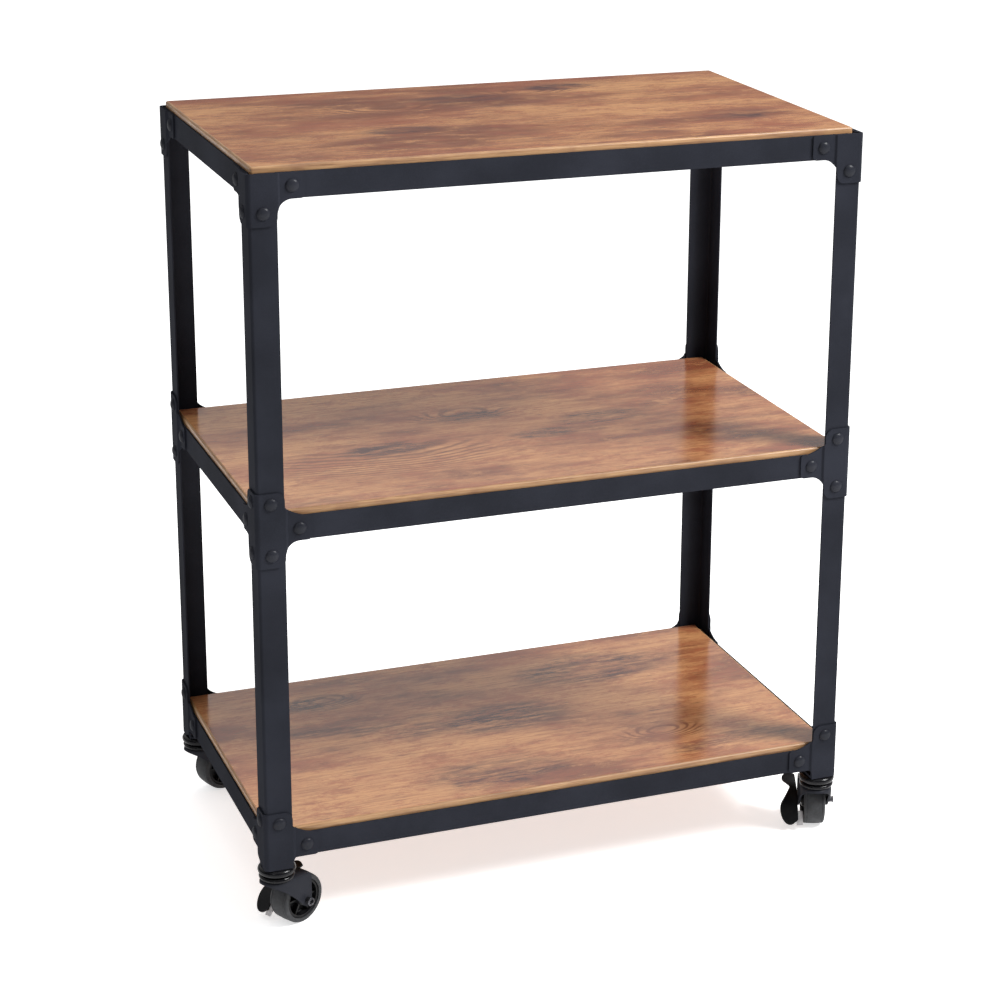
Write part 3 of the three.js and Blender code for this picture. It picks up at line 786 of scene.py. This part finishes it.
# %% Pull the twelve rails
LEDGE_WIDTH = 14 * MM
ledge_down = rims["top"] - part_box("board_top")[0].z + TOUCH_GAP      # the ledge's top, below the rim
RAIL_SECTION = [
    (0, 0), (SHEET, 0), (SHEET, -ledge_down), (LEDGE_WIDTH, -ledge_down), (LEDGE_WIDTH, -ledge_down - SHEET),
    (SHEET, -ledge_down - SHEET), (SHEET, -rail_face), (0, -rail_face),
]
QUARTER_TURNS = {"front": 0, "right": 1, "back": 2, "left": 3}


def pull_rail(tier, side):
    low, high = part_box(f"rail_{tier}_{side}")
    size = high - low
    length = max(size.x, size.y)
    data = bmesh.new()
    data.faces.new([data.verts.new((-length / 2, inward, up)) for inward, up in RAIL_SECTION])
    rail = new_object(f"mitred_rail_{tier}_{side}", data, [powder_coat])
    run_tree(rail, rail_tree, rail_inputs, {"Length": length, "Finish": powder_coat})
    bake_modifiers(rail)
    turn = Matrix.Rotation(QUARTER_TURNS[side] * math.pi / 2, 4, "Z")
    middle = (low + high) / 2
    outer = {"front": (middle.x, low.y), "right": (high.x, middle.y),
             "back": (middle.x, high.y), "left": (low.x, middle.y)}[side]
    rail.data.transform(Matrix.Translation((*outer, rims[tier])) @ turn)
    soften(rail)
    return finish_piece(rail, "frame", [f"rail_{tier}_{side}"])


for tier in TIERS:
    for side in SIDES:
        pull_rail(tier, side)

# %% [markdown]
# ## Shelf boards
#
# Each board is a plain rectangle with barely rounded corners, and its edges are rounded over top and
# bottom. The rounding carries the edge band material, so the golden line follows the rim by itself.

# %% Make the boards
BOARD_ROUND = 2.2 * MM            # edges, top and bottom
BOARD_CORNER = 3 * MM             # corners of the plan


def make_board(tier):
    low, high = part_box(f"board_{tier}")
    plan = rounded([(low.x, low.y), (high.x, low.y), (high.x, high.y), (low.x, high.y)], BOARD_CORNER, 6)
    data = prism(plan, low.z, high.z)
    for face in data.faces:
        face.material_index = 0 if abs(face.normal.z) > 0.5 else 1
    board = new_object(f"shelf_board_{tier}", data, [wood[tier], edge_band])
    soften(board, BOARD_ROUND, segments=4, angle=60, material=1)
    return finish_piece(board, "frame", [f"board_{tier}"])


for tier in TIERS:
    make_board(tier)

# %% [markdown]
# ## Caster seats
#
# The plate that closes the foot of each post stays as the working model has it. It only needs its paint.

# %% Paint the seats
for corner in CORNERS:
    seat = frame["nodes"][f"caster_seat_{corner}"]
    seat.data.materials.clear()
    seat.data.materials.append(powder_coat)
    print(seat.name, "painted")

# %% [markdown]
# ## Caster sizes and places
#
# All four casters are alike, so they are drawn once, with the stem on the Z axis and the wheel trailing
# towards +X, and then turned to where each one stands. The places come from the joints: a swivel joint is
# the stem, and a spin joint is the axle.

# %% Caster sizes
wheel_radius = (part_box("tyre_fl")[1].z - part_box("tyre_fl")[0].z) / 2
WHEEL_WIDTH = 22 * MM
fork_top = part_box("fork_fl")[1].z
stem_low, stem_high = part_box("caster_stem_fl")
CROWN_SHEET = 2.5 * MM
RACE_HEIGHT = 4.8 * MM                             # of the lower ring
UPPER_RING, LOWER_RING = 18.4 * MM, 17.4 * MM      # radii of the two rings
RING_FULLNESS = 0.48                               # radius of a ring's round edge over its height
crown_top = fork_top - RACE_HEIGHT
crown_bottom = crown_top - CROWN_SHEET
BALL_GAP = 0.4 * MM                                # between the two rings
ring_bottom = fork_top + BALL_GAP
ring_top = foot_height - TOUCH_GAP
FORK_INNER, FORK_OUTER = 14 * MM, 16 * MM          # half widths
FORK_FRONT = FORK_OUTER + 1.5 * MM                 # from the stem to the front of the crown
STEM_RADIUS = 4 * MM
AXLE_RADIUS = 3 * MM


def caster_place(corner):
    """(matrix that carries a caster's own drawing to its place, trail)."""
    stem = Vector(joints[f"swivel_{corner}"]["pos_m"])
    axle = Vector(joints[f"spin_{corner}"]["pos_m"])
    away = (axle - stem).to_2d()
    turn = Matrix.Rotation(math.atan2(away.y, away.x), 4, "Z")
    return Matrix.Translation((stem.x, stem.y, 0)) @ turn, away.length


TRAIL = caster_place("fl")[1]
print("wheel radius", round(wheel_radius, 4), "trail", round(TRAIL, 4), "crown", round(crown_top, 4))

# %% [markdown]
# ## Race rings and stem
#
# Two fat enamelled rings carry the swivel, one pressed on the stem and one on the fork, with the balls
# hidden between them. They are turned pieces with full round edges, because the two bright highlights that
# run round them are the first thing one sees of a caster. The stem is turned in one with the upper ring:
# its head is under the fork's crown and its nut on top of the seat plate.


# %% Turn the stem with its ring
STEM_HEAD, NUT = 6.5 * MM, 6.4 * MM            # radii
RING_NECK = 7 * MM                             # from the stem to where the ring's top turns round
HEAD_ROUND, NUT_CHAMFER = 1 * MM, 0.8 * MM


def ring_side(radius, low, high):
    """The full round outer edge of a ring, from its bottom to its top."""
    edge = (high - low) * RING_FULLNESS
    return arc(radius - edge, (low + high) / 2, edge, -90, 90, 12)


def make_stem(corner, place):
    nut_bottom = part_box(f"caster_seat_{corner}")[1].z + TOUCH_GAP
    head = arc(STEM_HEAD - HEAD_ROUND, stem_low.z + HEAD_ROUND, HEAD_ROUND, -90, 0, 4)
    profile = [(0, stem_low.z), *head, (STEM_HEAD, crown_bottom - TOUCH_GAP),
               (STEM_RADIUS, crown_bottom - TOUCH_GAP), (STEM_RADIUS, ring_bottom)]
    profile += ring_side(UPPER_RING, ring_bottom, ring_top)
    profile += [(STEM_RADIUS + RING_NECK, ring_top), (STEM_RADIUS, ring_top), (STEM_RADIUS, nut_bottom),
                (NUT, nut_bottom), (NUT, stem_high.z - NUT_CHAMFER), (NUT - NUT_CHAMFER, stem_high.z),
                (0, stem_high.z)]
    stem = new_object(f"stem_and_ring_{corner}", lathe(profile, 48, place), [race_enamel])
    return finish_piece(stem, "frame", [f"caster_stem_{corner}"])


# %% [markdown]
# ## Fork
#
# The fork is pressed from one sheet: a crown under the rings, rounded over into two legs that reach down to
# the axle. A side view and a plan are each drawn once and pushed through each other, the inside is taken
# out in the same way, and rounding the crown's top edge before the cut gives the soft pressed shoulder. The
# cuts leave slivers behind, so the mesh is cleaned before its last bevel.


# %% Cutting tools
def combine(obj, other, operation):
    """Applies a boolean and throws the other object away."""
    cut = obj.modifiers.new("cut", "BOOLEAN")
    cut.object = other
    cut.operation = operation
    cut.solver = "EXACT"
    bake_modifiers(obj)
    bpy.data.objects.remove(other)


def drill(obj, radius, low, high, place=Matrix()):
    bit = lathe([(0, low), (radius, low), (radius, high), (0, high)], 24, place)
    combine(obj, new_object("drill", bit, []), "DIFFERENCE")


def clean_slivers(obj):
    clean = bmesh.new()
    clean.from_mesh(obj.data)
    bmesh.ops.remove_doubles(clean, verts=clean.verts, dist=0.08 * MM)
    bmesh.ops.dissolve_limit(clean, angle_limit=math.radians(1), verts=clean.verts, edges=clean.edges)
    clean.to_mesh(obj.data)
    clean.free()


# %% Draw the fork
EYE_RADIUS = 6 * MM                                # end of a leg, round the axle
KNEE_AHEAD, KNEE_ABOVE = 25 * MM, 19.5 * MM        # bend of a leg's front edge, from the axle
REAR_ROUND = 6 * MM
CROWN_ROUND, INNER_ROUND = 3 * MM, 1.2 * MM        # pressed shoulder, outside and inside
CROWN_WALL = 2 * MM                                # at the crown's nose
DRILL_REACH = 30 * MM                              # past both legs


def side_place(offset_x=0.0, height=0.0):
    """Turns a plan into a side view: its y becomes height and its thickness runs across."""
    return Matrix.Translation((offset_x, 0, height)) @ Matrix.Rotation(math.pi / 2, 4, "X")


def about_axle():
    """Carries a piece turned about Z to the wheel's axis."""
    return side_place(TRAIL, wheel_radius)


def fork_side():
    eye_arc = arc(TRAIL, wheel_radius, EYE_RADIUS, 10, -150, 14)
    knee = (TRAIL - KNEE_AHEAD, wheel_radius + KNEE_ABOVE)
    edge = bezier(eye_arc[-1], knee, (-FORK_FRONT, crown_bottom - 0.5 * MM), 12)
    corner = arc(TRAIL + EYE_RADIUS - REAR_ROUND, crown_top - REAR_ROUND, REAR_ROUND, 90, 0, 6)
    return [(-FORK_FRONT, crown_top), *corner, *eye_arc, *edge[1:]]


def crown_plan(half, front, rear):
    nose = [(front * x, half * y) for x, y in arc(0, 0, 1, 90, 270, 20)]
    return [*nose, (rear, -half), (rear, half)]


def crown_block(plan, low, high, rounding, segments, materials):
    """A block with the crown's plan and its edges rounded over."""
    block = new_object("crown_block", prism(plan, low, high), materials)
    soften(block, rounding, segments, angle=60)
    bake_modifiers(block)
    return block


# %% Press the fork
def make_fork(corner, place):
    rear = TRAIL + wheel_radius
    outer = crown_plan(FORK_OUTER, FORK_FRONT, rear)
    inner = crown_plan(FORK_INNER, FORK_FRONT - CROWN_WALL, rear + MM)
    outside = crown_block(outer, 0, crown_top, CROWN_ROUND, 5, [fork_paint])
    inside = crown_block(inner, -MM, crown_bottom, INNER_ROUND, 3, [])
    legs = prism(fork_side(), -FORK_OUTER - MM, FORK_OUTER + MM, side_place())
    fork = new_object(f"pressed_fork_{corner}", legs, [fork_paint])
    combine(fork, outside, "INTERSECT")
    combine(fork, inside, "DIFFERENCE")
    drill(fork, AXLE_RADIUS + TOUCH_GAP, -DRILL_REACH, DRILL_REACH, about_axle())
    drill(fork, STEM_RADIUS + TOUCH_GAP, crown_bottom - MM, crown_top + MM)
    clean_slivers(fork)
    soften(fork, angle=50)
    bake_modifiers(fork)
    fork.data.transform(place)
    return finish_piece(fork, f"caster_{corner}", [f"fork_{corner}"])


def make_lower_ring(corner, place):
    bore, top = STEM_RADIUS + TOUCH_GAP, crown_top + RACE_HEIGHT
    profile = [(bore, crown_top), *ring_side(LOWER_RING, crown_top, top), (bore, top)]
    ring = new_object(f"lower_ring_{corner}", lathe(profile, 48, place), [race_enamel])
    return finish_piece(ring, f"caster_{corner}", [])


# %% [markdown]
# ## Wheel
#
# The tyre is a band with rounded shoulders and a faint line moulded near each edge. The hub inside it is
# hollowed to a thin web with ribs from the boss to the rim. The ribs are one drawing, repeated round the
# axle by a third tree. The axle is riveted over at each end, which leaves a low head with a dished middle.

# %% Build the rib tree
rib_tree, rib_inputs, given = open_tree("ribs_round_axle", ["Count"])
spots = add_node(rib_tree, "GeometryNodePoints", {"Count": given["Count"]}).outputs[0]
index = add_node(rib_tree, "GeometryNodeInputIndex").outputs[0]
turn_each = calc(rib_tree, "DIVIDE", calc(rib_tree, "MULTIPLY", index, 2 * math.pi), given["Count"])
spin = add_node(rib_tree, "ShaderNodeCombineXYZ", {2: turn_each}).outputs[0]
ribs = add_node(rib_tree, "GeometryNodeInstanceOnPoints",
                {"Points": spots, "Instance": given["Geometry"], "Rotation": spin}).outputs[0]
close_tree(rib_tree, ribs, given["Finish"])
print("rib tree", len(rib_tree.nodes), "nodes")

# %% Turn the tyre
TYRE_THICKNESS = 5 * MM
TREAD_RISE = 0.4 * MM             # the tread's middle over its shoulders
LINE_IN, LINE_DEPTH = 3.2 * MM, 0.5 * MM      # the moulded line, from the tyre's side
half_wheel = WHEEL_WIDTH / 2
tyre_inner = wheel_radius - TYRE_THICKNESS


def make_tyre(corner, place):
    shoulder = wheel_radius - TREAD_RISE
    line = half_wheel - LINE_IN
    tread = [(shoulder - 1.8 * MM, -half_wheel), (shoulder - 0.5 * MM, -half_wheel + 0.6 * MM),
             (shoulder, -half_wheel + 1.8 * MM), (shoulder, -line - LINE_DEPTH),
             (shoulder - LINE_DEPTH, -line), (shoulder + 0.1 * MM, -line + LINE_DEPTH)]
    profile = [(tyre_inner, -half_wheel), *tread, (wheel_radius, 0), *[(r, -z) for r, z in tread[::-1]],
               (tyre_inner, half_wheel)]
    tyre = new_object(f"rubber_tyre_{corner}", lathe(profile, 72, place @ about_axle()), [tyre_rubber])
    return finish_piece(tyre, f"wheel_{corner}", [f"tyre_{corner}"])


# %% Mould the hub
BOSS_RADIUS = 7 * MM
RIM_THICKNESS = 2.6 * MM
WEB_HALF = 2.5 * MM
RIB_COUNT = 6
boss_half, rim_half = half_wheel + MM, half_wheel - MM
rim_outer = tyre_inner - TOUCH_GAP
rim_inner = rim_outer - RIM_THICKNESS


def hub_profile():
    bore = AXLE_RADIUS + TOUCH_GAP
    half = [(bore, boss_half), (BOSS_RADIUS - MM, boss_half), (BOSS_RADIUS, boss_half - MM),
            (BOSS_RADIUS + 0.4 * MM, WEB_HALF + MM), (BOSS_RADIUS + 1.4 * MM, WEB_HALF),
            (rim_inner - MM, WEB_HALF), (rim_inner, WEB_HALF + MM), (rim_inner + 0.3 * MM, rim_half),
            (rim_outer - 0.4 * MM, rim_half), (rim_outer, rim_half - 0.4 * MM)]
    return half + [(r, -z) for r, z in half[::-1]]


def make_ribs():
    plan = [(BOSS_RADIUS - MM, -MM), (rim_inner + MM, -0.7 * MM), (rim_inner + MM, 0.7 * MM),
            (BOSS_RADIUS - MM, MM)]
    height = rim_half - 2 * MM
    rib = new_object("rib", prism(rounded(plan, 0.3 * MM, 2), -height, height), [hub_plastic])
    run_tree(rib, rib_tree, rib_inputs, {"Count": RIB_COUNT, "Finish": hub_plastic})
    bake_modifiers(rib)
    return rib


def make_hub(corner, place):
    hub = lathe(hub_profile(), 60)
    ribs = make_ribs()
    hub.from_mesh(ribs.data)
    bpy.data.objects.remove(ribs)
    hub.transform(place @ about_axle())
    piece = new_object(f"ribbed_hub_{corner}", hub, [hub_plastic])
    return finish_piece(piece, f"wheel_{corner}", [f"wheel_hub_{corner}"])


# %% Rivet the axle
RIVET_RADIUS, RIVET_RISE = 4.2 * MM, 0.8 * MM
PEDAL_SEAT = 4.8 * MM             # extra length that carries a pedal's cheek


def make_axle(corner, place, braked):
    start = FORK_OUTER + TOUCH_GAP
    end = start + (PEDAL_SEAT if braked else 0.0)
    head = [(0, -1.6 * MM), (1.8 * MM, -1.6 * MM), (2.1 * MM, 0.2 * MM), (2.6 * MM, RIVET_RISE),
            (3.5 * MM, RIVET_RISE * 0.85), (RIVET_RADIUS, RIVET_RISE * 0.3), (RIVET_RADIUS, 0)]
    profile = [(r, -start - z) for r, z in head] + [(AXLE_RADIUS, -start), (AXLE_RADIUS, end)]
    profile += [(r, end + z) for r, z in head[::-1]]
    axle = new_object(f"riveted_axle_{corner}", lathe(profile, 28, place @ about_axle()), [axle_steel_painted_shade])
    return finish_piece(axle, f"caster_{corner}", [f"axle_{corner}"])


# %% [markdown]
# ## Brake pedal
#
# A brake pedal is a rocker on the axle: a low, wide lobe in front to step it off and a higher one behind to
# set it. It is moulded as one arched plate with soft edges, and a round cheek that sits on the end of the
# axle. The plan is cut flat like a sheet, sliced along its length, and lifted on to the arch. Under the
# front lobe a zinc strip stands beside the tread. It is the part that grips the wheel, and the only bright
# metal in sight.


# %% Arch of the pedal
PEDAL_SHEET = 2.2 * MM
PEDAL_ARCH = [(-25, -17), (-12.5, -1), (0, 10), (13.5, 14.8), (27, 18)]      # millimetres from the axle
pedal_inside = FORK_OUTER + 2 * TOUCH_GAP


def arch_height(x):
    """Height of the plate over the axle's middle, on the smooth curve through the arch's points."""
    x = min(max(x / MM, PEDAL_ARCH[0][0]), PEDAL_ARCH[-1][0])
    total = 0.0
    for px, height in PEDAL_ARCH:
        weight = math.prod((x - qx) / (px - qx) for qx, _ in PEDAL_ARCH if qx != px)
        total += weight * height
    return total * MM


# %% Mould the pedal's plate
def pedal_plan():
    front = arc(-15 * MM, 25 * MM, 10 * MM, 200, 60, 16)
    rear = arc(19 * MM, 23 * MM, 8 * MM, 120, -20, 14)
    waist = pedal_inside + 7 * MM
    neck = bezier(front[-1], (-2 * MM, waist + 3 * MM), (6 * MM, waist), 8)[1:]
    return [(-22 * MM, pedal_inside), *front, *neck, *rear, (25 * MM, pedal_inside)]


def make_pedal_plate(corner, place):
    data = cut_blank(pedal_plan(), [x * MM for x in range(-24, 27, 2)])
    for vert in data.verts:
        vert.co.z = arch_height(vert.co.x)
    face_towards(data, Vector((0, 0, 1)))
    data.transform(place @ Matrix.Translation((TRAIL, 0, wheel_radius)))
    plate = new_object(f"brake_pedal_moulded_{corner}", data, [pedal_plastic])
    thicken(plate, PEDAL_SHEET)
    soften(plate, 0.7 * MM, segments=3, angle=45)
    return finish_piece(plate, f"pedal_{corner}", [f"brake_pedal_{corner}"])


# %% Mould the pedal's cheek
CHEEK_DEPTH = 3.9 * MM
CHEEK_RADIUS, COLLAR_RADIUS = 7 * MM, 6 * MM


def make_pedal_cheek(corner, place):
    bore = AXLE_RADIUS + TOUCH_GAP
    half = [(bore, 0), (bore, CHEEK_DEPTH), (COLLAR_RADIUS - 0.8 * MM, CHEEK_DEPTH),
            (COLLAR_RADIUS, CHEEK_DEPTH - 0.8 * MM), (COLLAR_RADIUS, PEDAL_SHEET),
            (CHEEK_RADIUS - 0.4 * MM, PEDAL_SHEET), (CHEEK_RADIUS, PEDAL_SHEET - 0.4 * MM), (CHEEK_RADIUS, 0)]
    cheek = lathe([(r, -pedal_inside - out) for r, out in half], 40, about_axle())
    web_plan = [(-5 * MM, 4 * MM), (7.5 * MM, 4 * MM), (8 * MM, 11 * MM), (-3 * MM, 7 * MM)]
    web = prism(rounded(web_plan, 0.6 * MM, 3), -pedal_inside - PEDAL_SHEET, -pedal_inside, about_axle())
    both = joined(cheek, web)
    both.transform(place)
    piece = new_object(f"pedal_cheek_{corner}", both, [pedal_plastic])
    return finish_piece(piece, f"pedal_{corner}", [])


# %% Cut the grip strip
def make_brake_strip(corner, place):
    side = [(-24 * MM, -18.2 * MM), (-22.8 * MM, -18.8 * MM),
            (-14.4 * MM, -6.4 * MM), (-15.6 * MM, -5.6 * MM)]
    strip = prism(side, -18.5 * MM, -11.6 * MM, place @ about_axle())
    piece = new_object(f"brake_strip_{corner}", strip, [zinc_plate])
    soften(piece)
    return finish_piece(piece, f"pedal_{corner}", [])


# %% Build the four casters
for corner in CORNERS:
    place, _ = caster_place(corner)
    braked = f"brake_{corner}" in joints
    for step in (make_stem, make_fork, make_lower_ring, make_tyre, make_hub):
        step(corner, place)
    make_axle(corner, place, braked)
    if braked:
        for step in (make_pedal_plate, make_pedal_cheek, make_brake_strip):
            step(corner, place)

# %% [markdown]
# ## Floor, light and camera
#
# The cart stands on a plain white floor. A softbox hangs well above the cart, in front and to the right, so
# the fronts of the posts are brighter towards the right and their left sides stay dark. A wide lamp
# overhead fills the shelves, and a small one on the left puts a second glint on the race rings. The
# surroundings are dark in front and white high up and behind, because the shelves are glossy, are seen at a
# low angle, and mirror whatever is behind them.

# %% Floor
FLOOR_HALF = 30                   # metres
floor_data = bmesh.new()
bmesh.ops.create_grid(floor_data, x_segments=1, y_segments=1, size=FLOOR_HALF)
matt = {"Roughness": 0.8, "Specular_IOR_Level": 0.1}
glow = {"Emission_Color": (1, 1, 1, 1), "Emission_Strength": 0.62}
floor_finish, tree, shader, place = start_finish("studio_floor", **matt, **glow)
paper = mix(tree, noise(tree, place, 3), (0.80, 0.80, 0.80), (0.86, 0.86, 0.86))
tree.links.new(paper, shader.inputs["Base Color"])
floor = new_object("studio_floor", floor_data, [floor_finish])
print("floor", FLOOR_HALF * 2, "m across")

# %% Surroundings
world = bpy.data.worlds.new("studio")
bpy.context.scene.world = world
world.use_nodes = True
tree = world.node_tree
look = add_node(tree, "ShaderNodeTexCoord").outputs["Generated"]
toward = add_node(tree, "ShaderNodeSeparateXYZ", {0: look})
behind = remap(tree, toward.outputs["Y"], -0.1, 0.5)
raised = remap(tree, toward.outputs["Z"], 0.20, 0.38)
overhead = remap(tree, toward.outputs["Z"], 0.45, 0.95)
shade = calc(tree, "MAXIMUM", calc(tree, "MULTIPLY", behind, raised), overhead)
colour = ramp(tree, shade, [(0.0, (0.10, 0.10, 0.11)), (1.0, (1.0, 1.0, 1.0))])
background = tree.nodes["Background"]
tree.links.new(colour, background.inputs["Color"])
background.inputs["Strength"].default_value = 1.0
print("surroundings", world.name)


# %% Lights
def add_area(name, at, aim, size, power):
    light = bpy.data.lights.new(name, "AREA")
    light.shape = "RECTANGLE"
    light.size, light.size_y = size
    light.energy = power
    lamp = bpy.data.objects.new(name, light)
    bpy.context.scene.collection.objects.link(lamp)
    lamp.location = at
    lamp.rotation_euler = (Vector(aim) - Vector(at)).to_track_quat("-Z", "Y").to_euler()
    print(name, power, "W")


middle = (0.0, 0.0, rims["middle"])
add_area("key", (1.5, -1.2, 2.1), middle, (0.9, 0.9), 110)
add_area("glint", (-1.6, -2.2, 1.5), middle, (0.3, 0.4), 2.5)
add_area("overhead", (0.2, 0.3, 3.2), middle, (2.5, 2.0), 10)

# %% Camera
CAMERA_AT = Vector((-0.8251, -2.2731, 1.2059))
YAW, PITCH, ROLL = 0.3877, 0.3009, -0.0142         # radians: to the right, down, clockwise
VIEW = 2.5214                                      # focal length over the width of the film
SHIFT = -0.1                                       # the frame is cut a tenth off centre, both ways
camera_data = bpy.data.cameras.new("camera")
camera = bpy.data.objects.new("camera", camera_data)
bpy.context.scene.collection.objects.link(camera)
camera_data.sensor_width = 36
camera_data.lens = VIEW * camera_data.sensor_width
camera_data.shift_x = SHIFT
camera_data.shift_y = SHIFT
camera.location = CAMERA_AT
forward = Vector((math.cos(PITCH) * math.sin(YAW), math.cos(PITCH) * math.cos(YAW), -math.sin(PITCH)))
right = Vector((math.cos(YAW), -math.sin(YAW), 0))
up = right.cross(forward)
tilted = Matrix.Rotation(ROLL, 3, forward)
axes = Matrix((tilted @ right, tilted @ up, -forward)).transposed()
camera.rotation_euler = axes.to_euler()
bpy.context.scene.camera = camera
bpy.context.scene.view_settings.view_transform = "Standard"
print("camera", [round(v, 3) for v in camera.location], "lens", round(camera_data.lens, 1), "mm")
